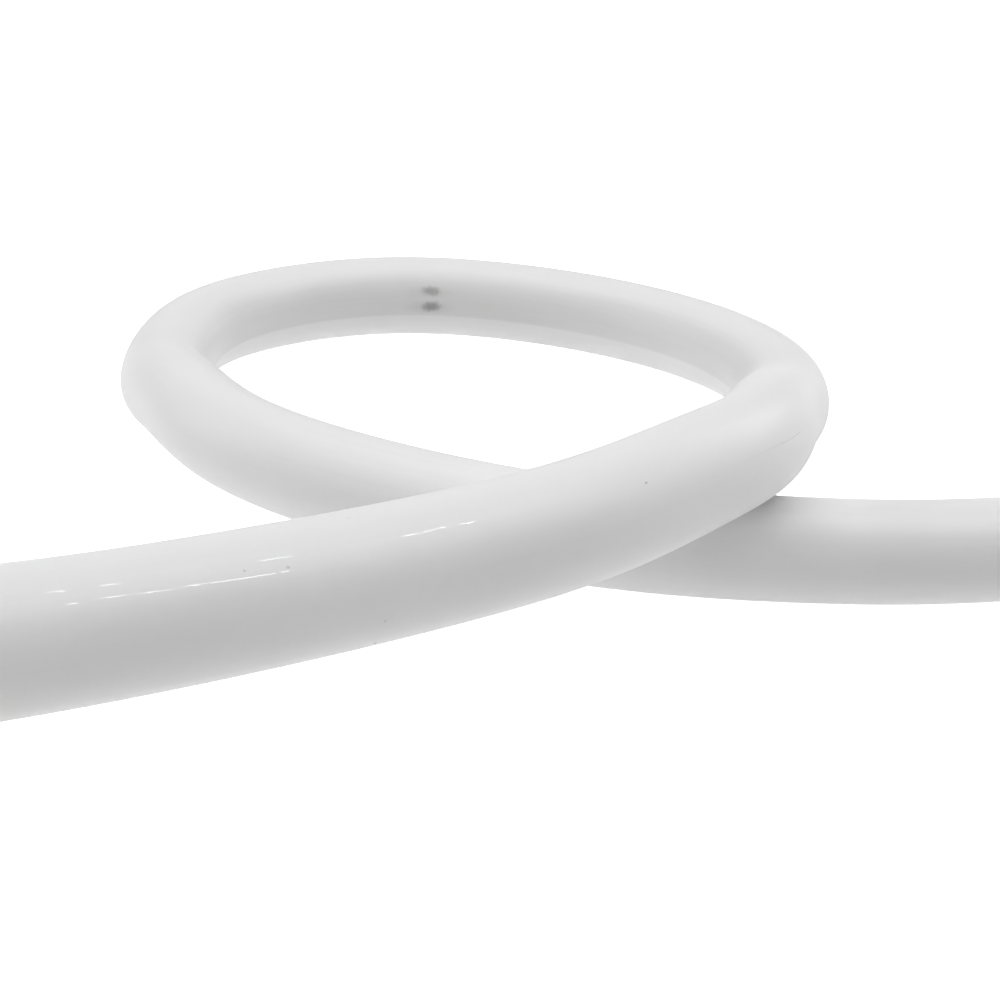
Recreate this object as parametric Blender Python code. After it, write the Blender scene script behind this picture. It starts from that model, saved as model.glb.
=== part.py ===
"""LED neon flex: one metre of round silicone light tube, lying in a loose loop.

The tube is a milky silicone extrusion with a slot along its whole length. Two
flexible LED strips lie in the slot, end to end, and two solder joints bridge
them near mid-length. Both ends of the tube are plain cuts.

Metres, +Z up, the floor at z = 0. The origin is on the floor, under the middle
of the box around the tube.
"""
import math

import bmesh
import bpy
import numpy as np
from mathutils import Vector

# The tube
CUT_LENGTH = 1.000
LEFT_SHARE = 0.55           # of the cut length lies left of the splice
TUBE_DIAMETER = 0.020
TUBE_SIDES = 24
STATION_PITCH = 0.0125      # cross-sections along the tube are this far apart
HEADING_REACH = 0.0010      # the tube's heading is taken over this distance either way

# The LED strips
BOARD_WIDTH = 0.010
BOARD_THICKNESS = 0.0005
BOARD_OFFSET = 0.0020       # component side to the tube's axis, towards the inside of the loop
STRIP_SETBACK = 0.0005      # a strip ends this far inside the cut face
SPLICE_GAP = 0.0010         # between the two strips
LED_PITCH = 1.0 / 60.0
LED_WIDTH = 0.0050
LED_HEIGHT = 0.0015

# The two solder joints across the splice
SOLDER_LENGTH = 0.0040
SOLDER_WIDTH = 0.0019
SOLDER_HEIGHT = 0.0011
PAD_SPACING = 0.0040

# Fits
CLEARANCE = 0.0003          # between pieces that touch
LED_HEADROOM = 0.0004       # over the LEDs in the slot
SHORTEST_EDGE = 0.0001      # a strip skips a cross-section this near an LED's edge

# How the tube lies: (x, y) in metres, then how far it is raised off the floor in tube
# diameters. It comes in from the left front, climbs over itself, turns round the back,
# comes down on the left and leaves to the right along the floor.
ROUTE = [
    (-0.2370, 0.0820, 0.02),
    (-0.2155, 0.0915, 0.02),
    (-0.1915, 0.1025, 0.36),
    (-0.1595, 0.1195, 0.92),
    (-0.1320, 0.1375, 1.34),
    (-0.1055, 0.1570, 1.66),
    (-0.0805, 0.1770, 1.66),
    (-0.0585, 0.1945, 1.48),
    (-0.0335, 0.2115, 1.38),
    (-0.0105, 0.2280, 1.32),
    (0.0140, 0.2460, 1.34),
    (0.0325, 0.2680, 1.30),
    (0.0460, 0.2945, 1.08),
    (0.0535, 0.3235, 0.76),
    (0.0600, 0.3500, 0.42),
    (0.0615, 0.3795, 0.22),
    (0.0500, 0.4060, 0.14),
    (0.0275, 0.4250, 0.12),
    (0.0005, 0.4340, 0.14),
    (-0.0300, 0.4335, 0.16),
    (-0.0585, 0.4230, 0.10),
    (-0.0765, 0.4015, 0.04),
    (-0.0780, 0.3710, 0.02),
    (-0.0695, 0.3455, 0.28),
    (-0.0540, 0.3195, 0.36),
    (-0.0285, 0.3025, 0.30),
    (-0.0005, 0.2945, 0.20),
    (0.0305, 0.2920, 0.10),
    (0.0585, 0.2935, 0.04),
    (0.0850, 0.2975, 0.00),
    (0.1160, 0.3040, 0.02),
    (0.1485, 0.3135, 0.00),
    (0.1755, 0.3230, 0.00),
    (0.2055, 0.3335, 0.00),
    (0.2350, 0.3435, 0.00),
    (0.2645, 0.3535, 0.00),
    (0.2945, 0.3630, 0.00),
    (0.3240, 0.3715, 0.00),
]
SPLICE_AT = 0.562           # the splice, measured along the route from its first point

# Derived sizes: "in" is towards the inside of the loop, "up" is across the strip
LEFT_LENGTH = CUT_LENGTH * LEFT_SHARE
RIGHT_LENGTH = CUT_LENGTH - LEFT_LENGTH
TUBE_RADIUS = TUBE_DIAMETER / 2
BOARD_BACK = BOARD_OFFSET - BOARD_THICKNESS
LED_TOP = BOARD_OFFSET + LED_HEIGHT
SLOT_BACK = BOARD_BACK - CLEARANCE
SLOT_FRONT = LED_TOP + LED_HEADROOM
SLOT_HALF_WIDTH = BOARD_WIDTH / 2 + CLEARANCE


def natural_spline(points, step=0.0005):
    """Points `step` apart on the natural cubic spline through the given points."""
    knots = np.concatenate([[0], np.cumsum(np.linalg.norm(np.diff(points, axis=0), axis=1))])
    gap = np.diff(knots)
    slope = np.diff(points, axis=0) / gap[:, None]
    system = np.eye(len(points))
    right_side = np.zeros_like(points)
    for i in range(1, len(points) - 1):
        system[i, i - 1:i + 2] = gap[i - 1], 2 * (gap[i - 1] + gap[i]), gap[i]
        right_side[i] = 6 * (slope[i] - slope[i - 1])
    bend = np.linalg.solve(system, right_side)

    along = np.linspace(0, knots[-1], round(knots[-1] / step))
    span = np.clip(np.searchsorted(knots, along, side="right") - 1, 0, len(gap) - 1)
    width = gap[span][:, None]
    before = (along - knots[span])[:, None]
    after = width - before
    curve = (bend[span] * after**3 + bend[span + 1] * before**3) / (6 * width)
    curve += (points[span] / width - bend[span] * width / 6) * after
    curve += (points[span + 1] / width - bend[span + 1] * width / 6) * before
    return curve


def resting_curve():
    """The tube's centre line, with a straight run past either end of the route."""
    route = np.array(ROUTE)
    route[:, 2] = TUBE_RADIUS + route[:, 2] * TUBE_DIAMETER
    curve = natural_spline(route)
    first, last = curve[1] - curve[0], curve[-1] - curve[-2]
    first[2] = last[2] = 0
    before = curve[0] - first / np.linalg.norm(first) * CUT_LENGTH
    after = curve[-1] + last / np.linalg.norm(last) * CUT_LENGTH
    return np.vstack([before, curve, after])


def stations():
    """Cross-sections: distance from the splice, centre, inward axis and up axis of each."""
    curve = resting_curve()
    travelled = np.concatenate([[0], np.cumsum(np.linalg.norm(np.diff(curve, axis=0), axis=1))])
    left = np.linspace(-LEFT_LENGTH, 0, round(LEFT_LENGTH / STATION_PITCH) + 1)
    right = np.linspace(0, RIGHT_LENGTH, round(RIGHT_LENGTH / STATION_PITCH) + 1)
    distance = np.concatenate([left, right[1:]])
    at = distance + SPLICE_AT + CUT_LENGTH

    def point(where):
        return np.stack([np.interp(where, travelled, curve[:, axis]) for axis in range(3)], axis=1)

    heading = point(at + HEADING_REACH) - point(at - HEADING_REACH)
    heading /= np.linalg.norm(heading, axis=1, keepdims=True)
    inward = np.cross((0, 0, 1), heading)
    inward /= np.linalg.norm(inward, axis=1, keepdims=True)
    return distance, point(at), inward, np.cross(heading, inward)


def tube_outline():
    """Corners of the tube's round outside, as (in, up) pairs."""
    turns = [2 * math.pi * side / TUBE_SIDES for side in range(TUBE_SIDES)]
    return [(TUBE_RADIUS * math.cos(turn), TUBE_RADIUS * math.sin(turn)) for turn in turns]


def centred(centres, inward, up):
    """The same centres, moved so that the tube's box stands on the origin."""
    rim = np.array(tube_outline())
    skin = centres[:, None] + rim[:, :1] * inward[:, None] + rim[:, 1:] * up[:, None]
    low, high = skin.min(axis=(0, 1)), skin.max(axis=(0, 1))
    middle = (low + high) / 2
    return centres - np.array([middle[0], middle[1], low[2]])


DISTANCE, CENTRES, INWARD, UP = stations()
CENTRES = centred(CENTRES, INWARD, UP)


def place(distance, inward, up):
    """A point in the cross-section that lies `distance` along the tube from the splice."""
    frame = []
    for values in (CENTRES, INWARD, UP):
        frame.append(np.array([np.interp(distance, DISTANCE, values[:, axis]) for axis in range(3)]))
    centre, in_axis, up_axis = frame
    return Vector(centre + in_axis * inward + up_axis * up)


def ring(mesh, distance, corners):
    """New vertices for one cross-section, from its (in, up) corners."""
    return [mesh.verts.new(place(distance, inward, up)) for inward, up in corners]


def wall(mesh, near, far, sides=None):
    """Faces between two rings of as many corners, on all sides or on the named ones."""
    for k in range(len(near)) if sides is None else sides:
        after = (k + 1) % len(near)
        mesh.faces.new((near[k], near[after], far[after], far[k]))


def loop_edges(mesh, corners):
    """The edges round a ring."""
    return [mesh.edges.get((a, b)) for a, b in zip(corners, corners[1:] + corners[:1])]


def add_object(name, mesh, material):
    """An object of its own from a closed bmesh: faces out, and smooth on its round sides."""
    bmesh.ops.recalc_face_normals(mesh, faces=mesh.faces)
    if mesh.calc_volume(signed=True) < 0:
        bmesh.ops.reverse_faces(mesh, faces=mesh.faces)
    data = bpy.data.meshes.new(name)
    mesh.to_mesh(data)
    mesh.free()
    data.materials.append(material)
    data.shade_smooth()
    data.set_sharp_from_angle(angle=math.radians(40))
    part = bpy.data.objects.new(name, data)
    bpy.context.scene.collection.objects.link(part)
    return part


def add_material(name, colour, roughness, metallic=0.0):
    """A plain Principled material."""
    material = bpy.data.materials.new(name)
    material.use_nodes = True
    shader = material.node_tree.nodes["Principled BSDF"]
    shader.inputs["Base Color"].default_value = (*colour, 1)
    shader.inputs["Roughness"].default_value = roughness
    shader.inputs["Metallic"].default_value = metallic
    return material


def build_jacket(material):
    """The round tube with its slot, open at both cut ends."""
    slot = [
        (SLOT_BACK, -SLOT_HALF_WIDTH),
        (SLOT_FRONT, -SLOT_HALF_WIDTH),
        (SLOT_FRONT, SLOT_HALF_WIDTH),
        (SLOT_BACK, SLOT_HALF_WIDTH),
    ]
    mesh = bmesh.new()
    outside = [ring(mesh, distance, tube_outline()) for distance in DISTANCE]
    inside = [ring(mesh, distance, slot) for distance in DISTANCE]
    for rings in (outside, inside):
        for near, far in zip(rings, rings[1:]):
            wall(mesh, near, far)
    for end in (0, -1):
        rims = loop_edges(mesh, outside[end]) + loop_edges(mesh, inside[end])
        bmesh.ops.triangle_fill(mesh, use_beauty=True, edges=rims)
    return add_object("silicone_jacket", mesh, material)


def led_spans(start, end):
    """Where each LED begins and ends along a strip that runs from start to end."""
    count = int((end - start) / LED_PITCH + 0.5)
    margin = (end - start - (count - 1) * LED_PITCH) / 2
    middles = [start + margin + i * LED_PITCH for i in range(count)]
    return [(middle - LED_WIDTH / 2, middle + LED_WIDTH / 2) for middle in middles]


def build_strip(name, start, end, material):
    """A flexible board with a row of square LEDs raised from its component side."""
    edge, led_edge = BOARD_WIDTH / 2, LED_WIDTH / 2
    board = [
        (BOARD_BACK, edge),
        (BOARD_BACK, -edge),
        (BOARD_OFFSET, -edge),
        (BOARD_OFFSET, -led_edge),
        (BOARD_OFFSET, led_edge),
        (BOARD_OFFSET, edge),
    ]
    led_side = 3
    leds = led_spans(start, end)
    led_stops = [stop for led in leds for stop in led]
    kinks = [distance for distance in DISTANCE if start < distance < end
             and min(abs(distance - stop) for stop in led_stops) > SHORTEST_EDGE]
    stops = sorted({start, end, *kinks, *led_stops})

    mesh = bmesh.new()
    rings = [ring(mesh, stop, board) for stop in stops]
    tops = {}
    for led_start, led_end in leds:
        for stop in stops:
            if led_start <= stop <= led_end:
                tops[stop] = ring(mesh, stop, [(LED_TOP, -led_edge), (LED_TOP, led_edge)])
    plain_sides = [side for side in range(len(board)) if side != led_side]
    for (near_stop, near), (far_stop, far) in zip(zip(stops, rings), zip(stops[1:], rings[1:])):
        wall(mesh, near, far, plain_sides)
        near_rim, far_rim = near[led_side:led_side + 2], far[led_side:led_side + 2]
        if any(led_start <= near_stop and far_stop <= led_end for led_start, led_end in leds):
            near_rim = [near_rim[0], *tops[near_stop], near_rim[1]]
            far_rim = [far_rim[0], *tops[far_stop], far_rim[1]]
        wall(mesh, near_rim, far_rim, range(len(near_rim) - 1))
    for stop, corners in zip(stops, rings):
        if any(stop in led for led in leds):
            mesh.faces.new((corners[led_side], *tops[stop], corners[led_side + 1]))
    mesh.faces.new(rings[0])
    mesh.faces.new(rings[-1])
    return add_object(name, mesh, material)


def build_solder(name, side, material):
    """A low dome of solder over one pair of pads; side is 1 for the upper, -1 for the lower."""
    mesh = bmesh.new()
    bmesh.ops.create_uvsphere(mesh, u_segments=12, v_segments=8, radius=1)
    cut = bmesh.ops.bisect_plane(
        mesh, geom=mesh.verts[:] + mesh.edges[:] + mesh.faces[:], dist=1e-6,
        plane_co=(0, 0, 0), plane_no=(0, 0, 1), clear_inner=True)
    rim = [item for item in cut["geom_cut"] if isinstance(item, bmesh.types.BMEdge)]
    bmesh.ops.edgeloop_fill(mesh, edges=rim)
    base = place(0, BOARD_OFFSET + CLEARANCE, side * PAD_SPACING / 2)
    inward = place(0, 1, 0) - place(0, 0, 0)
    upward = place(0, 0, 1) - place(0, 0, 0)
    along = inward.cross(upward)
    for vertex in mesh.verts:
        x, y, z = vertex.co
        vertex.co = (base + along * (x * SOLDER_LENGTH / 2) + upward * (y * SOLDER_WIDTH / 2)
                     + inward * (z * SOLDER_HEIGHT))
    return add_object(name, mesh, material)


def build():
    """Every piece of the light tube."""
    for leftover in list(bpy.data.objects):
        bpy.data.objects.remove(leftover, do_unlink=True)
    silicone = add_material("milky_silicone", (0.86, 0.86, 0.86), 0.25)
    board = add_material("white_board", (0.80, 0.80, 0.78), 0.45)
    solder = add_material("dull_solder", (0.45, 0.45, 0.46), 0.40, metallic=0.9)

    build_jacket(silicone)
    build_strip("led_strip_left", STRIP_SETBACK - LEFT_LENGTH, -SPLICE_GAP / 2, board)
    build_strip("led_strip_right", SPLICE_GAP / 2, RIGHT_LENGTH - STRIP_SETBACK, board)
    build_solder("solder_joint_upper", 1, solder)
    build_solder("solder_joint_lower", -1, solder)


build()
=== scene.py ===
import math

import bmesh
import bpy
import numpy as np
from mathutils import Matrix, Vector


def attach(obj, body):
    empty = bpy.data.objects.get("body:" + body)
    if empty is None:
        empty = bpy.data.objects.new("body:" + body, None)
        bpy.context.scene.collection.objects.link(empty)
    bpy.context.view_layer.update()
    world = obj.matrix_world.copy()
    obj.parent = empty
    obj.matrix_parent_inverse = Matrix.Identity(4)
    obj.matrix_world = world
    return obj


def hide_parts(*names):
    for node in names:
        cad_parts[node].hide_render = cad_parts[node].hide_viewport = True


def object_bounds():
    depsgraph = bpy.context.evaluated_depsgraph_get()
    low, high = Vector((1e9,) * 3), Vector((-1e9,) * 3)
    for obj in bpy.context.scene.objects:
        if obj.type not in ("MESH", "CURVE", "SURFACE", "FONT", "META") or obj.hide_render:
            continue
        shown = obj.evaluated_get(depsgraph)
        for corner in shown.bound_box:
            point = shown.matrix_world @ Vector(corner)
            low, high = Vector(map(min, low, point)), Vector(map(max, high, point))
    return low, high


# %% [markdown]
# # An LED neon flex, lying in one loose loop
#
# The object is one metre of round light tube: a milky silicone skin, a slot along its
# middle, and in the slot two thin LED strips that are soldered end to end.
# The solid model already fixes every size and place. This notebook makes what the eye
# sees: a smooth skin with the gloss, streaks and shadows of real silicone, and the
# small parts that show at the cut ends.

# %% Load the solid model
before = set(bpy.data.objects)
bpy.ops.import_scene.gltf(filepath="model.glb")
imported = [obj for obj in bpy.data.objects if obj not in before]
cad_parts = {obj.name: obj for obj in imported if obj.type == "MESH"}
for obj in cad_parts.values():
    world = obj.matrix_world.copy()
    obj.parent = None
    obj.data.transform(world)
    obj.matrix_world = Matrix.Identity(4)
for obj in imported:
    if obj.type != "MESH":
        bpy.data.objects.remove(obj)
cad_low, cad_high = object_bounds()
cad_size = [round((high - low) * 1000, 1) for low, high in zip(cad_low, cad_high)]
print("solid model:", sorted(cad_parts), "box", cad_size, "mm")

# %% [markdown]
# ## The route
#
# A cord is a fixed length of something bendy, so its shape is one smooth curve through
# a few given points. Each point is (x, y) in metres, then how far the tube is
# raised off the floor, in tube diameters. The tube comes in from the left front, climbs
# over itself, turns round the back, comes down on the left and leaves to the right.

# %% Route points
TUBE_DIAMETER = 0.020
TUBE_RADIUS = TUBE_DIAMETER / 2
ROUTE = [
    (-0.2370, 0.0820, 0.02),
    (-0.2155, 0.0915, 0.02),
    (-0.1915, 0.1025, 0.36),
    (-0.1595, 0.1195, 0.92),
    (-0.1320, 0.1375, 1.34),
    (-0.1055, 0.1570, 1.66),
    (-0.0805, 0.1770, 1.66),
    (-0.0585, 0.1945, 1.48),
    (-0.0335, 0.2115, 1.38),
    (-0.0105, 0.2280, 1.32),
    (0.0140, 0.2460, 1.34),
    (0.0325, 0.2680, 1.30),
    (0.0460, 0.2945, 1.08),
    (0.0535, 0.3235, 0.76),
    (0.0600, 0.3500, 0.42),
    (0.0615, 0.3795, 0.22),
    (0.0500, 0.4060, 0.14),
    (0.0275, 0.4250, 0.12),
    (0.0005, 0.4340, 0.14),
    (-0.0300, 0.4335, 0.16),
    (-0.0585, 0.4230, 0.10),
    (-0.0765, 0.4015, 0.04),
    (-0.0780, 0.3710, 0.02),
    (-0.0695, 0.3455, 0.28),
    (-0.0540, 0.3195, 0.36),
    (-0.0285, 0.3025, 0.30),
    (-0.0005, 0.2945, 0.20),
    (0.0305, 0.2920, 0.10),
    (0.0585, 0.2935, 0.04),
    (0.0850, 0.2975, 0.00),
    (0.1160, 0.3040, 0.02),
    (0.1485, 0.3135, 0.00),
    (0.1755, 0.3230, 0.00),
    (0.2055, 0.3335, 0.00),
    (0.2350, 0.3435, 0.00),
    (0.2645, 0.3535, 0.00),
    (0.2945, 0.3630, 0.00),
    (0.3240, 0.3715, 0.00),
]
print(len(ROUTE), "route points")


# %% [markdown]
# Straight lines and arcs between the points would look like bent wire. A natural cubic
# spline keeps the bend itself changing smoothly, which is how a springy tube lies.

# %% A smooth curve through the points
CURVE_STEP = 0.0005


def distance_along(points):
    """How far each point lies from the first one, along the line through them."""
    return np.concatenate([[0], np.cumsum(np.linalg.norm(np.diff(points, axis=0), axis=1))])


def natural_spline(points):
    """Points CURVE_STEP apart on the natural cubic spline through the given points."""
    knots = distance_along(points)
    gap = np.diff(knots)
    slope = np.diff(points, axis=0) / gap[:, None]
    system = np.eye(len(points))
    right_side = np.zeros_like(points)
    for i in range(1, len(points) - 1):
        system[i, i - 1:i + 2] = gap[i - 1], 2 * (gap[i - 1] + gap[i]), gap[i]
        right_side[i] = 6 * (slope[i] - slope[i - 1])
    bend = np.linalg.solve(system, right_side)

    along = np.linspace(0, knots[-1], round(knots[-1] / CURVE_STEP))
    span = np.clip(np.searchsorted(knots, along, side="right") - 1, 0, len(gap) - 1)
    width = gap[span][:, None]
    before = (along - knots[span])[:, None]
    after = width - before
    curve = (bend[span] * after**3 + bend[span + 1] * before**3) / (6 * width)
    curve += (points[span] / width - bend[span] * width / 6) * after
    curve += (points[span + 1] / width - bend[span + 1] * width / 6) * before
    return curve


route = np.array(ROUTE)
route[:, 2] = TUBE_RADIUS + route[:, 2] * TUBE_DIAMETER
spline = natural_spline(route)
print("spline of", len(spline), "points")

# %% [markdown]
# The photograph cuts the tube off on both sides. Past the last points it lies straight
# on along the floor, so the curve gets one straight run before it and one after it.

# %% Straight runs at both ends
TUBE_LENGTH = 1.000


def with_straight_runs(curve):
    """The curve, with a tube's length of level, straight line at either end."""
    first, last = curve[1] - curve[0], curve[-1] - curve[-2]
    first[2] = last[2] = 0
    before = curve[0] - first / np.linalg.norm(first) * TUBE_LENGTH
    after = curve[-1] + last / np.linalg.norm(last) * TUBE_LENGTH
    return np.vstack([before, curve, after])


CURVE = with_straight_runs(spline)
TRAVELLED = distance_along(CURVE)
print("whole curve", round(TRAVELLED[-1], 3), "m long")


# %% [markdown]
# Every cross-section needs its own axes: the heading of the tube, "inward" to the left
# of it, which is the inside of the loop, and "up". They stay level however the tube
# turns, so the strip in its slot stands on edge all the way, as it does in the solid.

# %% Cross-sections along the tube
SPLICE_AT = 0.562           # where the two strips meet, measured along the route
HEADING_REACH = 0.001       # the heading is read from points this far behind and ahead


def cross_sections(distance):
    """Centre, inward axis and up axis at each distance from the splice, on the route."""
    at = np.asarray(distance, float) + SPLICE_AT + TUBE_LENGTH

    def point(where):
        return np.stack([np.interp(where, TRAVELLED, CURVE[:, axis]) for axis in range(3)], axis=1)

    heading = point(at + HEADING_REACH) - point(at - HEADING_REACH)
    heading /= np.linalg.norm(heading, axis=1, keepdims=True)
    inward = np.cross((0, 0, 1), heading)
    inward /= np.linalg.norm(inward, axis=1, keepdims=True)
    return point(at), inward, np.cross(heading, inward)


print("splice at", np.round(cross_sections([0.0])[0][0], 4), "on the route")


# %% [markdown]
# The route is measured from the spot on the floor under the camera, and the solid model
# from the middle under its own box. A plain copy of the solid's skin, with as many
# corners and lengths as it has, shows how far the route has to move.

# %% Move the route to the solid
LEFT_LENGTH = 0.55 * TUBE_LENGTH        # this much of the tube lies left of the splice
RIGHT_LENGTH = TUBE_LENGTH - LEFT_LENGTH
SOLID_SIDES = 24
SOLID_SPANS = 80


def move_to_solid():
    """How far the route moves, so that its tube fills the solid's box."""
    centres, inward, up = cross_sections(
        np.linspace(-LEFT_LENGTH, RIGHT_LENGTH, SOLID_SPANS + 1))
    turns = (2 * math.pi / SOLID_SIDES * np.arange(SOLID_SIDES))[:, None, None]
    corners = centres + TUBE_RADIUS * (np.cos(turns) * inward + np.sin(turns) * up)
    low, high = corners.min(axis=(0, 1)), corners.max(axis=(0, 1))
    print("own box", np.round((high - low) * 1000, 1), "mm")
    return np.array(cad_low) - low


MOVE = move_to_solid()


def place(distance, inward=0.0, up=0.0):
    """A point in the cross-section that lies `distance` along the tube from the splice."""
    centre, in_axis, up_axis = (values[0] for values in cross_sections([distance]))
    return Vector(centre + MOVE + in_axis * inward + up_axis * up)


print("route moves by", np.round(MOVE * 1000, 2), "mm; splice at", place(0))

# %% [markdown]
# ## The camera
#
# The photograph was taken from just above the near strand, looking down at about 24
# degrees and tilted by nearly 3 degrees. How fast the tube narrows towards the back of the
# loop gives the field of view.

# %% Camera
CAMERA_HEIGHT = 0.14797
LOOKS_DOWN = math.radians(23.872)
ROLL = math.radians(2.722)
FOCAL_PIXELS = 1723.2
FRAME_PIXELS = 1000

level_up = Vector((0, math.sin(LOOKS_DOWN), math.cos(LOOKS_DOWN)))
forward = Vector((0, math.cos(LOOKS_DOWN), -math.sin(LOOKS_DOWN)))
rightward = math.cos(ROLL) * Vector((1, 0, 0)) + math.sin(ROLL) * level_up
upward = math.cos(ROLL) * level_up - math.sin(ROLL) * Vector((1, 0, 0))
camera_data = bpy.data.cameras.new("camera")
camera_data.sensor_width = 36
camera_data.lens = camera_data.sensor_width * FOCAL_PIXELS / FRAME_PIXELS
camera_data.clip_start = 0.01
camera = bpy.data.objects.new("camera", camera_data)
turn = Matrix((rightward, upward, -forward)).transposed().to_4x4()
camera.matrix_world = Matrix.Translation(Vector(MOVE) + Vector((0, 0, CAMERA_HEIGHT))) @ turn
bpy.context.scene.collection.objects.link(camera)
bpy.context.scene.camera = camera
print("camera at", camera.matrix_world.translation)


# %% [markdown]
# ## A short way to write nodes
#
# Geometry and materials are both node trees. `Value` wraps one output socket, so that
# `1 - mask * 0.3` adds the Math nodes that say it. `Tree.add` makes any other node from
# its type, its settings, which are set first, and what goes into its sockets.

# %% Node helpers
class Tree:
    """A node tree that nodes are added to."""

    def __init__(self, tree):
        self.tree = tree

    def add(self, kind, settings=None, inputs=None, output=0):
        """A new node; returns the output with that name or number."""
        node = self.tree.nodes.new(kind)
        for name, value in (settings or {}).items():
            setattr(node, name, value)
        for name, value in (inputs or {}).items():
            self.feed(node.inputs[name], value)
        return Value(self, node.outputs[output])

    def feed(self, socket, value):
        """Link a value to an input socket, or set a constant on it."""
        for each in value if isinstance(value, list) else [value]:
            if isinstance(each, Value):
                self.tree.links.new(each.socket, socket)
            else:
                socket.default_value = each


class Value:
    """One output socket of a tree, with arithmetic."""

    def __init__(self, owner, socket):
        self.owner = owner
        self.socket = socket

    def math(self, operation, *others, first=None):
        """A Math node on this value and the others."""
        terms = (self, *others) if first is None else (first, self)
        return self.owner.add("ShaderNodeMath", {"operation": operation}, dict(enumerate(terms)))

    def __add__(self, other):
        return self.math("ADD", other)

    def __sub__(self, other):
        return self.math("SUBTRACT", other)

    def __mul__(self, other):
        return self.math("MULTIPLY", other)

    def __rsub__(self, other):
        return self.math("SUBTRACT", first=other)

    def __neg__(self):
        return self * -1.0

    __radd__ = __add__
    __rmul__ = __mul__

    def rise(self, start, end):
        """0 before start, 1 after end, and smooth between them."""
        return self.owner.add("ShaderNodeMapRange", {"interpolation_type": "SMOOTHSTEP"},
                              {"Value": self, "From Min": start, "From Max": end})

    def between(self, start, end, soft_start, soft_end):
        """1 from start to end, falling to 0 over the given widths outside them."""
        return self.rise(start - soft_start, start) * (1 - self.rise(end, end + soft_end))

    def xyz(self):
        """The three parts of a vector."""
        return [self.owner.add("ShaderNodeSeparateXYZ", None, {0: self}, axis) for axis in "XYZ"]


# %% [markdown]
# A Geometry Nodes tree is a recipe with named inputs. `new_recipe` opens one, `serve`
# ends it, and `cook` runs it on a mesh: it sets the inputs by the identifiers of their
# sockets, turns the result into a plain mesh and drops the modifier.

# %% Geometry Nodes helpers
def new_recipe(name, **inputs):
    """A tree with a geometry input and the named inputs; returns it and its values."""
    group = bpy.data.node_groups.new(name, "GeometryNodeTree")
    group.interface.new_socket("Geometry", in_out="INPUT", socket_type="NodeSocketGeometry")
    group.interface.new_socket("Geometry", in_out="OUTPUT", socket_type="NodeSocketGeometry")
    for label, kind in inputs.items():
        group.interface.new_socket(label, in_out="INPUT", socket_type="NodeSocket" + kind)
    tree = Tree(group)
    start = group.nodes.new("NodeGroupInput")
    return tree, {socket.name: Value(tree, socket) for socket in start.outputs if socket.name}


def serve(tree, geometry, material):
    """The end of every recipe: real geometry, with its material."""
    real = tree.add("GeometryNodeRealizeInstances", None, {0: geometry})
    dressed = tree.add("GeometryNodeSetMaterial", None, {0: real, "Material": material})
    end = tree.tree.nodes.new("NodeGroupOutput")
    tree.feed(end.inputs[0], dressed)


def cook(name, mesh, tree, **inputs):
    """A plain mesh object: what the recipe makes of the mesh."""
    host = bpy.data.objects.new(name + "_host", mesh)
    bpy.context.scene.collection.objects.link(host)
    modifier = host.modifiers.new("recipe", "NODES")
    modifier.node_group = tree.tree
    for item in tree.tree.interface.items_tree:
        if item.in_out == "INPUT" and item.name in inputs:
            modifier[item.identifier] = inputs[item.name]
    bpy.context.view_layer.update()
    cooked = bpy.data.meshes.new_from_object(
        host.evaluated_get(bpy.context.evaluated_depsgraph_get()))
    bpy.data.objects.remove(host)
    return add_piece(name, cooked)


def add_piece(name, mesh):
    """Link a finished mesh as an object at the origin."""
    mesh.name = name
    piece = bpy.data.objects.new(name, mesh)
    bpy.context.scene.collection.objects.link(piece)
    print(name, len(mesh.vertices), "points,", len(mesh.polygons), "faces")
    return piece


# %% [markdown]
# Every recipe here starts from a line of points down the tube's middle. Each point
# carries its distance from the splice. As a curve, the line has its normals kept level,
# so that nothing that is swept or set down along it rolls over.

# %% The tube's middle line
def middle_line(start, end, step):
    """A mesh of points and edges down the tube's middle, each point with its distance."""
    distance = np.linspace(start, end, round((end - start) / step) + 1)
    points = cross_sections(distance)[0] + MOVE
    mesh = bpy.data.meshes.new("middle_line")
    mesh.from_pydata(points.tolist(), [(i, i + 1) for i in range(len(points) - 1)], [])
    mesh.attributes.new("along", "FLOAT", "POINT").data.foreach_set("value", distance)
    return mesh


def level_curve(tree, given):
    """The line that a recipe is given, as a curve with level normals."""
    line = tree.add("GeometryNodeMeshToCurve", None, {0: given["Geometry"]})
    return tree.add("GeometryNodeSetCurveNormal", {"mode": "Z_UP"}, {0: line})


def rectangle(tree, back, front, width, corner=None):
    """An outline across the tube, from back to front on the inward side of its middle."""
    outline = tree.add("GeometryNodeCurvePrimitiveQuadrilateral", None,
                       {"Width": front - back, "Height": width})
    if corner is not None:
        outline = tree.add("GeometryNodeFilletCurve", {"mode": "POLY"},
                           {0: outline, "Count": 3, "Radius": corner})
    middle = tree.add("ShaderNodeCombineXYZ", None, {"X": (front + back) * -0.5})
    return tree.add("GeometryNodeSetPosition", None, {0: outline, "Offset": middle})


# %% [markdown]
# ## The silicone skin
#
# The real skin is extruded: molten silicone is pushed through a die that has the shape
# of the cross-section. Sweeping a profile along the route is the same move, so that is
# what the recipe does. The profile is a circle, and a small rounded rectangle inside it
# for the slot. Each point keeps a note, "lie", of where it lies on the tube: how far
# along, how far inward and how far up. The material reads it, so that streaks and
# shadows follow the tube however it bends.

# %% Sweep the skin
SKIN_SIDES = 96
SKIN_STEP = 0.0025          # from one cross-section to the next
SLOT_BACK = 0.0012          # where the slot begins and ends, inward of the middle
SLOT_FRONT = 0.0039
SLOT_WIDTH = 0.0106
SLOT_CORNER = 0.0004
milky_silicone = bpy.data.materials.new("milky_silicone")


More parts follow.
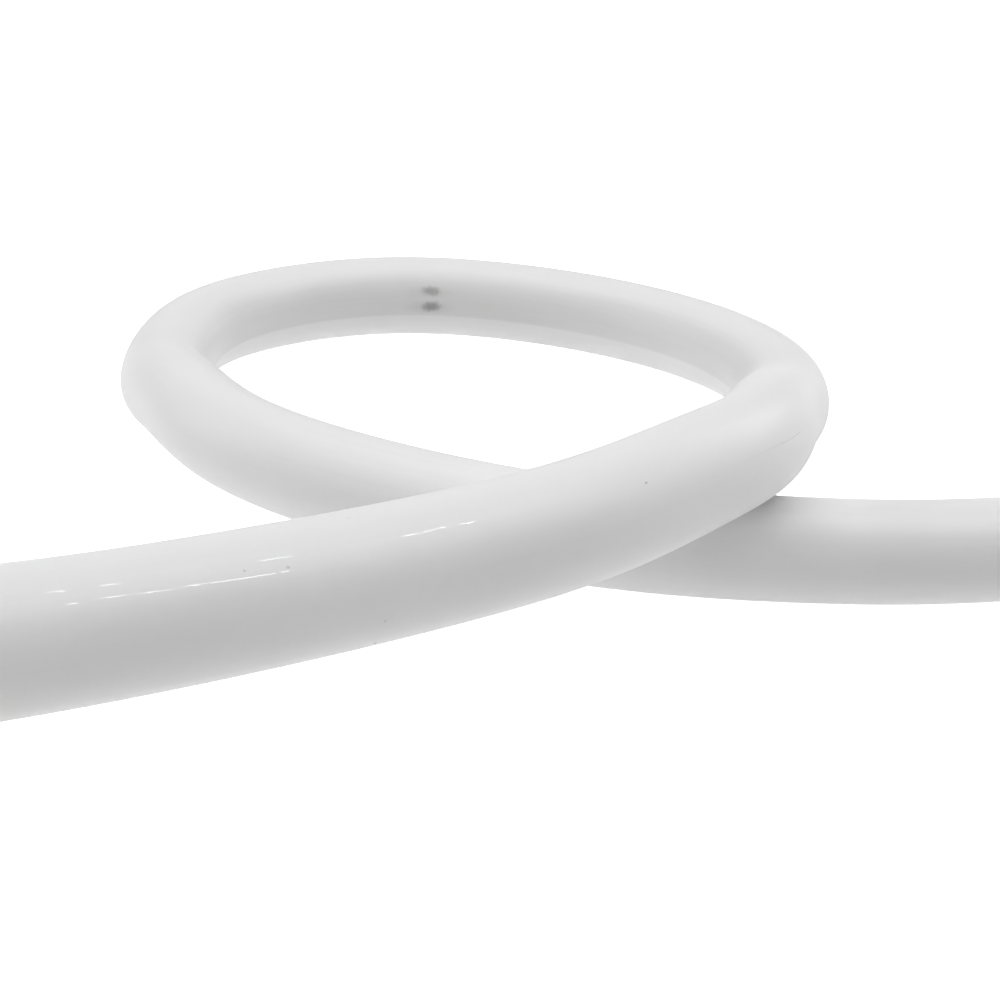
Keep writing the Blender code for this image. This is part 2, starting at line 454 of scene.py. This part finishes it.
def note(tree, geometry, name, vector):
    """Store a vector on every point, under a name."""
    return tree.add("GeometryNodeStoreNamedAttribute", {"data_type": "FLOAT_VECTOR"},
                    {0: geometry, "Name": name, "Value": vector})


def noted(tree, name, kind):
    """Read what is stored on the points under that name."""
    return tree.add("GeometryNodeInputNamedAttribute", {"data_type": kind}, {"Name": name})


def skin_recipe():
    """A circle with the slot's outline in it, swept along the line."""
    tree, given = new_recipe("extruded_skin", Radius="Float", Sides="Int", SlotBack="Float",
                             SlotFront="Float", SlotWidth="Float", SlotCorner="Float")
    outside = tree.add("GeometryNodeCurvePrimitiveCircle", None,
                       {"Resolution": given["Sides"], "Radius": given["Radius"]})
    slot = rectangle(tree, given["SlotBack"], given["SlotFront"], given["SlotWidth"],
                     given["SlotCorner"])
    slot = tree.add("GeometryNodeReverseCurve", None, {0: slot})
    profile = tree.add("GeometryNodeJoinGeometry", None, {0: [outside, slot]})
    profile = note(tree, profile, "section", tree.add("GeometryNodeInputPosition"))
    skin = tree.add("GeometryNodeCurveToMesh", None, {0: level_curve(tree, given), 1: profile})
    section = noted(tree, "section", "FLOAT_VECTOR").xyz()
    lie = tree.add("ShaderNodeCombineXYZ", None, {
        "X": noted(tree, "along", "FLOAT"), "Y": -section[0], "Z": -section[1]})
    serve(tree, note(tree, skin, "lie", lie), milky_silicone)
    return tree


skin = cook("silicone_skin", middle_line(-LEFT_LENGTH, RIGHT_LENGTH, SKIN_STEP),
            skin_recipe(), Radius=TUBE_RADIUS, Sides=SKIN_SIDES, SlotBack=SLOT_BACK,
            SlotFront=SLOT_FRONT, SlotWidth=SLOT_WIDTH, SlotCorner=SLOT_CORNER)


# %% [markdown]
# The sweep leaves both ends open. A knife cut is a flat face with the slot as a hole in
# it, and a hair's breadth of rounding where soft silicone gives way at the edge.

# %% Close the cut ends
EDGE_ROUNDING = 0.00015
cut_silicone = bpy.data.materials.new("cut_silicone")


def smooth(mesh, crisp=40):
    """Smooth shading, with edges past this many degrees kept crisp."""
    mesh.shade_smooth()
    mesh.set_sharp_from_angle(angle=math.radians(crisp))


def face_outwards(mesh):
    """Turn all faces of a closed shape to the outside."""
    bmesh.ops.recalc_face_normals(mesh, faces=mesh.faces)
    if mesh.calc_volume(signed=True) < 0:
        bmesh.ops.reverse_faces(mesh, faces=mesh.faces)


def close_cut_ends(piece):
    """A flat face with a slightly rounded edge at either end, in the second material."""
    mesh = bmesh.new()
    mesh.from_mesh(piece.data)
    lie = mesh.verts.layers.float_vector["lie"]
    rims = [edge for edge in mesh.edges if edge.is_boundary]
    for side in (-1, 1):
        edges = [edge for edge in rims if edge.verts[0][lie][0] * side > 0]
        filled = bmesh.ops.triangle_fill(mesh, use_beauty=True, edges=edges)
        for face in filled["geom"]:
            if isinstance(face, bmesh.types.BMFace):
                face.material_index = 1
    bmesh.ops.bevel(mesh, geom=rims, offset=EDGE_ROUNDING, segments=2, profile=0.5,
                    affect="EDGES", material=0)
    face_outwards(mesh)
    print("skin closed:", not any(edge.is_boundary for edge in mesh.edges),
          "silicone", round(mesh.calc_volume() * 1e6, 1), "ml")
    mesh.to_mesh(piece.data)
    mesh.free()
    smooth(piece.data)


skin.data.materials.append(cut_silicone)
close_cut_ends(skin)


# %% [markdown]
# ## The LED strips
#
# A strip is a thin white board on edge in the slot. Square LEDs stand on its inward
# side, with one black resistor to every three of them, and bare copper pads where it may
# be cut. The board is one more sweep, of a plain rectangle.

# %% A recipe for the boards
BOARD_WIDTH = 0.0100
BOARD_BACK = 0.0015         # its back and front, inward of the tube's middle
BOARD_FRONT = 0.0020
white_board = bpy.data.materials.new("white_board")


def board_recipe():
    """A rectangle swept along the line and closed at both ends."""
    tree, given = new_recipe("swept_board", Width="Float", Back="Float", Front="Float")
    profile = rectangle(tree, given["Back"], given["Front"], given["Width"])
    board = tree.add("GeometryNodeCurveToMesh", None,
                     {0: level_curve(tree, given), 1: profile, "Fill Caps": True})
    serve(tree, board, white_board)
    return tree


board = board_recipe()
print("board", round((BOARD_FRONT - BOARD_BACK) * 1000, 1), "mm thick")


# %% [markdown]
# What sits on the board repeats at a fixed pitch along the curve, which is what Curve to
# Points and Instance on Points are for: each small part is drawn once, in a few dozen
# faces, and set down again and again, turned with the tube.

# %% A recipe for a row of small parts
def row_recipe(name, drawing, material):
    """Sets one drawing down at a fixed pitch along the line, turned with it."""
    tree, given = new_recipe(name, Count="Int")
    one = bpy.data.objects.new(name + "_drawing", drawing)
    spots = tree.add("GeometryNodeCurveToPoints", {"mode": "COUNT"},
                     {0: level_curve(tree, given), "Count": given["Count"]})
    turned = Value(tree, spots.socket.node.outputs["Rotation"])
    drawn = tree.add("GeometryNodeObjectInfo", None, {"Object": one}, "Geometry")
    row = tree.add("GeometryNodeInstanceOnPoints", None,
                   {0: spots, "Instance": drawn, "Rotation": turned})
    serve(tree, row, material)
    print(name, "of a drawing with", len(drawing.polygons), "faces")
    return tree


# %% [markdown]
# A small part is drawn as flat outlines, one over the other, with walls between them.
# This is quicker to read than moving the corners of a cube about, and no face is wasted.

# %% Outlines, rings and walls
DISC_SIDES = 16
CORNERS = ((-1, -1), (1, -1), (1, 1), (-1, 1))


def ring(mesh, points, inward):
    """New vertices at the (across, along) points of a flat outline, that far inward."""
    return [mesh.verts.new((-inward, across, along)) for across, along in points]


def wall(mesh, near, far):
    """Faces between two rings of as many points."""
    for k in range(len(near)):
        after = (k + 1) % len(near)
        mesh.faces.new((near[k], near[after], far[after], far[k]))


def fill_between(mesh, outer, inner):
    """A flat face between an outer ring and an inner one of another count."""
    edges = [mesh.edges.get((loop[k - 1], loop[k])) for loop in (outer, inner)
             for k in range(len(loop))]
    bmesh.ops.triangle_fill(mesh, use_beauty=True, edges=edges)


def square(half, trim):
    """Corners of a square, each cut off by a small trim."""
    near = half - trim
    return [(-half, -near), (-near, -half), (near, -half), (half, -near),
            (half, near), (near, half), (-near, half), (-half, near)]


def disc(radius):
    """Points round a circle."""
    turns = [2 * math.pi * k / DISC_SIDES for k in range(DISC_SIDES)]
    return [(radius * math.cos(turn), radius * math.sin(turn)) for turn in turns]


def close_mesh(name, mesh):
    """A datablock of the finished drawing, with its faces outward."""
    face_outwards(mesh)
    data = bpy.data.meshes.new(name)
    mesh.to_mesh(data)
    mesh.free()
    smooth(data, crisp=30)
    return data


# %% [markdown]
# An LED is a white moulded case with a round dish in it, full of pale yellow phosphor
# gel. Its upright corners are trimmed and its top edge is bevelled, because a moulded
# edge is never sharp. The gel is domed a little, so that it catches the light.

# %% One LED, drawn once
LED_WIDTH = 0.0050
LED_HEIGHT = 0.0015
LED_TOP = BOARD_FRONT + LED_HEIGHT
CORNER_TRIM = 0.0003
BEVEL_IN, BEVEL_DOWN = 0.0001, 0.0002
DISH_MOUTH, DISH_FLOOR, DISH_DEPTH = 0.0019, 0.0016, 0.0005
GEL = [(0.00161, 0.00048), (0.00178, 0.0002), (0.0009, 0.00012)]    # radius, depth in the dish
led_housing = bpy.data.materials.new("led_housing")
led_phosphor = bpy.data.materials.new("led_phosphor")


def draw_housing():
    """The white case, with its dish."""
    mesh = bmesh.new()
    outline = square(LED_WIDTH / 2, CORNER_TRIM)
    foot = ring(mesh, outline, BOARD_FRONT)
    shoulder = ring(mesh, outline, LED_TOP - BEVEL_DOWN)
    brow = ring(mesh, square(LED_WIDTH / 2 - BEVEL_IN, CORNER_TRIM), LED_TOP)
    lip = ring(mesh, disc(DISH_MOUTH), LED_TOP)
    dish = ring(mesh, disc(DISH_FLOOR), LED_TOP - DISH_DEPTH)
    wall(mesh, foot, shoulder)
    wall(mesh, shoulder, brow)
    wall(mesh, lip, dish)
    fill_between(mesh, brow, lip)
    mesh.faces.new(foot)
    mesh.faces.new(dish)
    return close_mesh("one_housing", mesh)


def draw_phosphor():
    """The gel that fills the dish."""
    mesh = bmesh.new()
    low, high, crown = [ring(mesh, disc(radius), LED_TOP - depth) for radius, depth in GEL]
    wall(mesh, low, high)
    wall(mesh, high, crown)
    mesh.faces.new(low)
    mesh.faces.new(crown)
    return close_mesh("one_phosphor", mesh)


housing_row = row_recipe("housing_row", draw_housing(), led_housing)
phosphor_row = row_recipe("phosphor_row", draw_phosphor(), led_phosphor)

# %% [markdown]
# A chip resistor is a low black block. The copper pads are flatter still: two pairs face
# each other, and the scissors go between them. One function draws both, as blocks with
# a fine bevel round the top.

# %% Resistors and copper pads
PAD_SPOTS = [(along, across) for along in (-0.0011, 0.0011) for across in (-0.0020, 0.0020)]
chip_resistor = bpy.data.materials.new("chip_resistor")
bare_copper = bpy.data.materials.new("bare_copper")


def draw_blocks(name, spots, half_along, half_across, thickness, bevel):
    """Flat blocks on the board, one at each (along, across) spot."""
    mesh = bmesh.new()
    full = BOARD_FRONT + thickness
    for along, across in spots:
        foot, side, top = [
            ring(mesh, [(across + x * (half_across - cut), along + y * (half_along - cut))
                        for x, y in CORNERS], height)
            for cut, height in ((0, BOARD_FRONT), (0, full - bevel), (bevel, full))]
        wall(mesh, foot, side)
        wall(mesh, side, top)
        mesh.faces.new(foot)
        mesh.faces.new(top)
    return close_mesh(name, mesh)


one_resistor = draw_blocks("one_resistor", [(0.0, 0.0)], half_along=0.0010,
                           half_across=0.0006, thickness=0.0005, bevel=0.00005)
four_pads = draw_blocks("four_pads", PAD_SPOTS, half_along=0.0009,
                        half_across=0.0009, thickness=0.00008, bevel=0.00002)
resistor_row = row_recipe("resistor_row", one_resistor, chip_resistor)
pad_row = row_recipe("pad_row", four_pads, bare_copper)

# %% [markdown]
# Both strips go in now, one on each side of the splice. How many LEDs fit comes from
# their pitch, and what is left over is shared between the two ends of the board.

# %% Both strips
STRIP_SETBACK = 0.0005      # a board stops this short of the cut end
SPLICE_GAP = 0.0010
LED_PITCH = 1 / 60
LEDS_PER_CUT = 3            # the strip may be cut after every third LED
ROW_STEP = SKIN_STEP / 5    # a finer line, so that small parts sit evenly in the bends
strips = {}
for side, start, end in (("left", STRIP_SETBACK - LEFT_LENGTH, -SPLICE_GAP / 2),
                         ("right", SPLICE_GAP / 2, RIGHT_LENGTH - STRIP_SETBACK)):
    count = round((end - start) / LED_PITCH)
    margin = (end - start - (count - 1) * LED_PITCH) / 2
    first, last = start + margin, end - margin
    cuts = count // LEDS_PER_CUT
    strips[side] = [cook("board_" + side, middle_line(start, end, SKIN_STEP), board,
                         Width=BOARD_WIDTH, Back=BOARD_BACK, Front=BOARD_FRONT)]
    for name, recipe, row_start, row_end, parts in (
            ("led_housings_", housing_row, first, last, count),
            ("led_phosphor_", phosphor_row, first, last, count),
            ("resistors_", resistor_row, first + LED_PITCH / 2, last - LED_PITCH * 1.5, cuts),
            ("copper_pads_", pad_row, first + LED_PITCH * 2.5, last - LED_PITCH * 2.5, cuts - 1)):
        strips[side].append(
            cook(name + side, middle_line(row_start, row_end, ROW_STEP), recipe, Count=parts))
    print(side, "strip:", count, "LEDs in", cuts, "groups")

# %% [markdown]
# ## The solder joints
#
# Two beads of solder bridge the strips. From outside they are two small dark shadows in
# the wall. A bead is a low dome with a concave foot where it wets the pad, so it is
# turned from a short list of heights.

# %% Solder beads
SOLDER_LENGTH = 0.0040
SOLDER_WIDTH = 0.0019
SOLDER_HEIGHT = 0.0011
SOLDER_LIFT = 0.0003        # off the board, as in the solid
SOLDER_SLUMP = 0.05         # how far its outline strays from an ellipse
PAD_SPACING = 0.0040
BEAD_SIDES = 32
BEAD_PROFILE = [            # reach and height, as shares of the whole
    (1.00, 0.00), (0.93, 0.07), (0.87, 0.22), (0.80, 0.45), (0.70, 0.66),
    (0.56, 0.82), (0.38, 0.94), (0.18, 0.99)]
dull_solder = bpy.data.materials.new("dull_solder")


def solder_bead(name, side):
    """A low bead over one pair of pads; side is 1 for the upper one, -1 for the lower."""
    mesh = bmesh.new()
    rings = []
    for reach, height in BEAD_PROFILE:
        loop = []
        for k in range(BEAD_SIDES):
            turn = 2 * math.pi * k / BEAD_SIDES
            slump = 1 + SOLDER_SLUMP * math.sin(3 * turn + side)
            loop.append(mesh.verts.new(place(
                reach * slump * math.cos(turn) * SOLDER_LENGTH / 2,
                BOARD_FRONT + SOLDER_LIFT + height * SOLDER_HEIGHT,
                side * PAD_SPACING / 2 + reach * math.sin(turn) * SOLDER_WIDTH / 2)))
        rings.append(loop)
    for near, far in zip(rings, rings[1:]):
        wall(mesh, near, far)
    mesh.faces.new(rings[0])
    top = mesh.verts.new(place(0, BOARD_FRONT + SOLDER_LIFT + SOLDER_HEIGHT,
                               side * PAD_SPACING / 2))
    for a, b in zip(rings[-1], rings[-1][1:] + rings[-1][:1]):
        mesh.faces.new((a, b, top))
    data = close_mesh(name, mesh)
    data.materials.append(dull_solder)
    return add_piece(name, data)


beads = {"upper": solder_bead("solder_bead_upper", 1), "lower": solder_bead("solder_bead_lower", -1)}


# %% [markdown]
# ## Materials
#
# `dress` wires a material: a short function says what goes into which socket of the
# Principled shader. What changes over the surface is a Value, and what is the same
# everywhere is a plain number, set on the socket itself.

# %% Material helpers
def dress(material, look):
    """Fill a material from a function that gives the values of the shader's sockets."""
    material.use_nodes = True
    tree = Tree(material.node_tree)
    shader = material.node_tree.nodes["Principled BSDF"]
    for name, value in look(tree).items():
        tree.feed(shader.inputs[name], value)
    print(material.name, len(material.node_tree.nodes), "nodes")


def position(tree):
    """Where a point lies in the object, which is also where it lies in the room."""
    return tree.add("ShaderNodeTexCoord", None, None, "Object")


def stretch(tree, vector, by):
    """A vector with each of its parts multiplied."""
    return tree.add("ShaderNodeVectorMath", {"operation": "MULTIPLY"}, {0: vector, 1: by})


def noise(tree, vector, scale, detail=2.0):
    """Smooth random values about 0.5."""
    return tree.add("ShaderNodeTexNoise", None, {
        "Vector": vector, "Scale": scale, "Detail": detail})


def mix(tree, factor, low, high):
    """A colour between two others."""
    return tree.add("ShaderNodeMix", {"data_type": "RGBA"},
                    {0: factor, 6: (*low, 1), 7: (*high, 1)}, 2)


def relief(tree, height, strength, distance):
    """A normal that makes the surface look as uneven as the height is."""
    return tree.add("ShaderNodeBump", None, {
        "Height": height, "Strength": strength, "Distance": distance}, "Normal")


# %% [markdown]
# ### What shows on the silicone
#
# The two solder beads show through the wall as dark marks. They are painted where the
# eye sees them through the wall, which bends the view upwards. The skin has picked up a
# few specks and one scratch. Where it was rubbed it is polished, in short dashes. All of
# them are ellipses on the skin, so each is one line of numbers.

# %% Marks and polished dashes
MARKS = [
    # along (m), round (degrees), half length and half width (m), tilt (degrees), depth
    (0.0005, 24, 0.0026, 0.0012, 3, 0.34),       # the upper solder bead
    (0.0010, 22, 0.0062, 0.0014, 0, 0.07),
    (0.0004, 1, 0.0027, 0.0013, -3, 0.45),       # the lower one
    (0.0010, 0, 0.0064, 0.0016, 0, 0.09),
    (-0.3133, 132.0, 0.0003, 0.0002, 0, 0.24),   # specks in the wall, and a scratch
    (-0.3194, 128.3, 0.0002, 0.0002, 0, 0.30),
    (-0.2515, 134.8, 0.0003, 0.0002, 0, 0.35),
    (-0.2994, 193.0, 0.0002, 0.0002, 0, 0.22),
    (-0.2987, 190.0, 0.0010, 0.0001, -38, 0.07),
    (-0.2993, 223.5, 0.0002, 0.0003, 0, 0.60),
    (-0.3005, 92.4, 0.0003, 0.0001, 10, 0.20),
]
DASHES = [
    # along (m), round (degrees) and half length (m) of a polished streak
    (-0.3437, 132.2, 0.0010), (-0.3380, 131.4, 0.0020), (-0.3324, 132.5, 0.0022),
    (-0.3266, 132.6, 0.0016), (-0.3231, 133.6, 0.0016), (-0.3195, 134.1, 0.0026),
    (-0.3165, 134.7, 0.0012), (-0.3140, 134.9, 0.0010), (-0.3454, 120.9, 0.0014),
    (-0.3380, 121.3, 0.0015), (-0.3147, 122.7, 0.0026), (-0.2933, 124.9, 0.0013),
    (-0.2901, 124.9, 0.0012), (-0.2879, 124.6, 0.0011), (-0.2832, 125.5, 0.0019),
]
DASH_HALF_WIDTH = 0.00008
DASH_TILT = 2


def ellipse(tree, along, turned, distance, degrees, length, width, tilt):
    """How far out a point of the skin is: 1 on the ellipse with those half sizes."""
    ahead = along - distance
    aside = (turned - math.radians(degrees)).math("WRAP", -math.pi, math.pi) * TUBE_RADIUS
    lean, stand = math.cos(math.radians(tilt)), math.sin(math.radians(tilt))
    pair = tree.add("ShaderNodeCombineXYZ", None, {
        "X": (ahead * lean + aside * stand) * (1 / length),
        "Y": (aside * lean - ahead * stand) * (1 / width)})
    return tree.add("ShaderNodeVectorMath", {"operation": "LENGTH"}, {0: pair}, "Value")


print(len(MARKS), "marks and", len(DASHES), "dashes")

# %% [markdown]
# ### Milky silicone
#
# Silicone is cloudy: light goes a few millimetres in and comes out again, so its
# shading is soft and small things inside show as blurs. The strip's shadow in the wall
# is painted shade: a slightly darker band on the inward side, sharper below than above.
# The die leaves fine streaks along the tube, so their noise is stretched a hundredfold.
# On the polished dashes, and nowhere else, a clear coat mirrors the lamps.

# %% Milky silicone
CLOUDY = {"IOR": 1.41, "Subsurface Weight": 0.4, "Subsurface Radius": (1.0, 1.0, 1.0),
          "Subsurface Scale": 0.003}
STRIP_SHADOW_EDGES = (-0.0020, 0.0054)      # of the strip's shadow, below and above the middle
STRIP_SHADOW_FADES = (0.0006, 0.0034)       # how wide each edge is
STRIP_SHADOW_SIDE = (0.0025, 0.0065)        # it comes up between these, measured inward
STRIP_SHADOW_DEPTH = 0.095
MARK_EDGE = (0.3, 1.4)              # where a mark and a dash fade, on the ellipse's scale
DASH_EDGE = (0.6, 1.3)
STREAK_STRETCH = (10.0, 1000.0, 1000.0)
CLOUD_STRETCH = (40.0, 260.0, 260.0)


def silicone_look(tree):
    """Milky white with the strip's painted shadow, the marks, streaks, clouds and polished dashes.
    """
    lie = tree.add("ShaderNodeAttribute", {"attribute_name": "lie"}, output="Vector")
    along, inward, up = lie.xyz()
    turned = up.math("ARCTAN2", inward)
    streaks = noise(tree, stretch(tree, lie, STREAK_STRETCH), 1.2, 3.0)
    clouds = noise(tree, stretch(tree, lie, CLOUD_STRETCH), 1.0)
    ragged = (noise(tree, lie, 1400) - 0.5) * 0.7

    # painted shade: the strip's shadow in the wall, a darker band on the inward side
    strip_shadow = up.between(*STRIP_SHADOW_EDGES, *STRIP_SHADOW_FADES) * inward.rise(*STRIP_SHADOW_SIDE)
    shade = 1 - strip_shadow * STRIP_SHADOW_DEPTH
    for *mark, depth in MARKS:
        far = ellipse(tree, along, turned, *mark) + ragged
        shade = shade * (1 - (1 - far.rise(*MARK_EDGE)) * depth)
    shade = shade * (1 + (streaks - 0.5) * 0.05 + (clouds - 0.5) * 0.03)

    polished = 0.0
    for dash in DASHES:
        far = ellipse(tree, along, turned, *dash, DASH_HALF_WIDTH, DASH_TILT)
        polished = polished + 1 - far.rise(*DASH_EDGE)
    return {**CLOUDY, "Base Color": mix(tree, shade, (0.0, 0.0, 0.0), (0.80, 0.80, 0.80)),
            "Roughness": 0.30 + (streaks - 0.5) * 0.10, "Specular IOR Level": 0.2,
            "Normal": relief(tree, streaks, 0.25, 0.00003),
            "Coat Weight": polished, "Coat Roughness": 0.02, "Coat IOR": 1.5}


dress(milky_silicone, silicone_look)


# %% [markdown]
# ### The cut faces
#
# A cut face is matt, and shows the faint straight marks of the knife: noise that is
# squeezed together from top to bottom, so that it turns into level lines.

# %% Cut silicone
def cut_look(tree):
    """Silicone with level knife marks."""
    marks = noise(tree, stretch(tree, position(tree), (300.0, 300.0, 4000.0)), 1.0, 3.0)
    return {**CLOUDY, "Base Color": mix(tree, marks, (0.70, 0.70, 0.70), (0.80, 0.80, 0.80)),
            "Roughness": 0.5 + marks * 0.15, "Normal": relief(tree, marks, 0.4, 0.00005)}


dress(cut_silicone, cut_look)

# %% [markdown]
# ### The small parts
#
# Board, LED case, gel, resistor, copper and solder look plain, but none of them is one
# flat colour. Each has a fine speckle between two close shades, which also makes its
# gloss and its surface slightly uneven.

# %% Speckled finishes
SPECKLED = [
    # material, darker and lighter colour, scale of the speckle, roughness, metallic
    (white_board, (0.76, 0.76, 0.73), (0.84, 0.84, 0.82), 1500, 0.40, 0.0),
    (led_housing, (0.80, 0.80, 0.78), (0.88, 0.88, 0.86), 2500, 0.35, 0.0),
    (led_phosphor, (0.80, 0.66, 0.22), (0.90, 0.78, 0.34), 3000, 0.25, 0.0),
    (chip_resistor, (0.03, 0.03, 0.03), (0.07, 0.07, 0.07), 4000, 0.35, 0.0),
    (bare_copper, (0.60, 0.36, 0.22), (0.75, 0.48, 0.30), 2000, 0.30, 1.0),
    (dull_solder, (0.36, 0.36, 0.37), (0.54, 0.54, 0.55), 1800, 0.35, 0.9),
]


def speckled(low, high, scale, roughness, metallic):
    """A look with fine speckle between two colours."""
    def look(tree):
        speckle = noise(tree, position(tree), scale, 3.0)
        return {"Base Color": mix(tree, speckle, low, high),
                "Roughness": roughness + speckle * 0.1, "Metallic": metallic,
                "Normal": relief(tree, speckle, 0.3, 0.00003)}
    return look


for material, *finish in SPECKLED:
    dress(material, speckled(*finish))

# %% [markdown]
# ## Floor and light
#
# The photograph is a studio shot on pure white, with no shadow on the table. A table
# that is bright enough for that would also light the tube from below much more than in
# the photograph. So the table is made twice, as photographers do with a lit glass sheet
# over a plain board: the sheet is what the camera sees, and the board, two centimetres
# below it, is what sends light back up.

# %% Floor
FLOOR_SIZE = 60.0


def table_look(glow):
    """White paint with a faint grain, and some light of its own."""
    def look(tree):
        grain = noise(tree, position(tree), 400)
        return {"Base Color": mix(tree, grain, (0.92, 0.92, 0.92), (0.94, 0.94, 0.94)),
                "Roughness": 0.8, "Specular IOR Level": 0.2,
                "Emission Color": (1, 1, 1, 1), "Emission Strength": glow}
    return look


def table(name, height, glow):
    """A wide flat sheet, which isn't part of the object."""
    mesh = bpy.data.meshes.new(name)
    half = FLOOR_SIZE / 2
    mesh.from_pydata([(x * half, y * half, height) for x, y in CORNERS], [], [(0, 1, 2, 3)])
    paint = bpy.data.materials.new(name + "_paint")
    mesh.materials.append(paint)
    piece = add_piece(name, mesh)
    dress(paint, table_look(glow))
    return piece


plain_board = table("plain_board", height=-0.02, glow=0.12)
plain_board.visible_camera = False
lit_sheet = table("lit_sheet", height=0.0, glow=0.9)
for ray in ("diffuse", "glossy", "transmission", "shadow"):
    setattr(lit_sheet, "visible_" + ray, False)

# %% [markdown]
# Soft boxes all round keep the shading soft. Two long lamps high on the right are seen
# only in gloss: they are what the polished dashes mirror.

# %% Lights
SOFTBOXES = {
    # name: (middle, what it faces, width, depth, power in watts)
    "overhead": ((0.0, 0.1, 1.4), (0.0, 0.0, 0.0), 1.6, 1.6, 17.6),
    "left": ((-1.3, 0.0, 0.6), (0.0, 0.0, 0.0), 1.0, 1.0, 7.3),
    "right": ((1.0, 0.0, 1.1), (0.0, 0.0, 0.0), 0.8, 0.8, 5.6),
    "back_right": ((1.0, 1.1, 0.6), (0.0, 0.0, 0.0), 0.8, 0.8, 2.6),
    "front_left": ((-1.0, -1.0, 0.6), (0.0, 0.0, 0.0), 0.8, 0.8, 0.4),
    "near_lamp": ((0.78, -0.15, 1.2), (0.78, -0.15, 0.0), 0.5, 0.2, 1.8),
    "far_lamp": ((0.53, 0.25, 1.2), (0.53, 0.25, 0.0), 0.5, 0.2, 1.8),
}


def softbox(name, middle, faces, width, depth, power):
    """A rectangular area light that faces a point."""
    data = bpy.data.lights.new(name, "AREA")
    data.shape = "RECTANGLE"
    data.size, data.size_y = width, depth
    data.energy = power
    light = bpy.data.objects.new(name, data)
    light.location = middle
    light.rotation_euler = (Vector(faces) - Vector(middle)).to_track_quat("-Z", "Y").to_euler()
    bpy.context.scene.collection.objects.link(light)
    return light


softboxes = {name: softbox(name, *values) for name, values in SOFTBOXES.items()}
for name in ("near_lamp", "far_lamp"):
    softboxes[name].visible_diffuse = False
print(len(softboxes), "lights")

# %% [markdown]
# The pale walls of the room are the world's background. They show in gloss too, and light
# nothing matt, so that the shadows stay as deep as they are in the photograph.

# %% The room
ROOM_GLOW = 0.6
room = bpy.data.worlds.new("pale_room")
room.use_nodes = True
walls = room.node_tree.nodes["Background"]
walls.inputs["Color"].default_value = (1, 1, 1, 1)
walls.inputs["Strength"].default_value = ROOM_GLOW
room.cycles_visibility.diffuse = False
bpy.context.scene.world = room
bpy.context.scene.view_settings.view_transform = "Standard"
print(room.name, "glows at", ROOM_GLOW)

# %% [markdown]
# ## What stands for what
#
# Each piece rides on the one rigid body, and the solid that it replaces is hidden.
# The light is a metre of tube with both ends bare, and the path lists points down its
# middle.

# %% Declarations
PATH_POINTS = 401
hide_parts("silicone_jacket")
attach(skin, "root")
for side, pieces in strips.items():
    for piece in pieces:
        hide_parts("led_strip_" + side)
        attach(piece, "root")
for side, bead in beads.items():
    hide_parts("solder_joint_" + side)
    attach(bead, "root")

path = [tuple(point) for point in
        cross_sections(np.linspace(-LEFT_LENGTH, RIGHT_LENGTH, PATH_POINTS))[0] + MOVE]
print("one cord and", sum(map(len, strips.values())) + len(beads), "pieces in it")
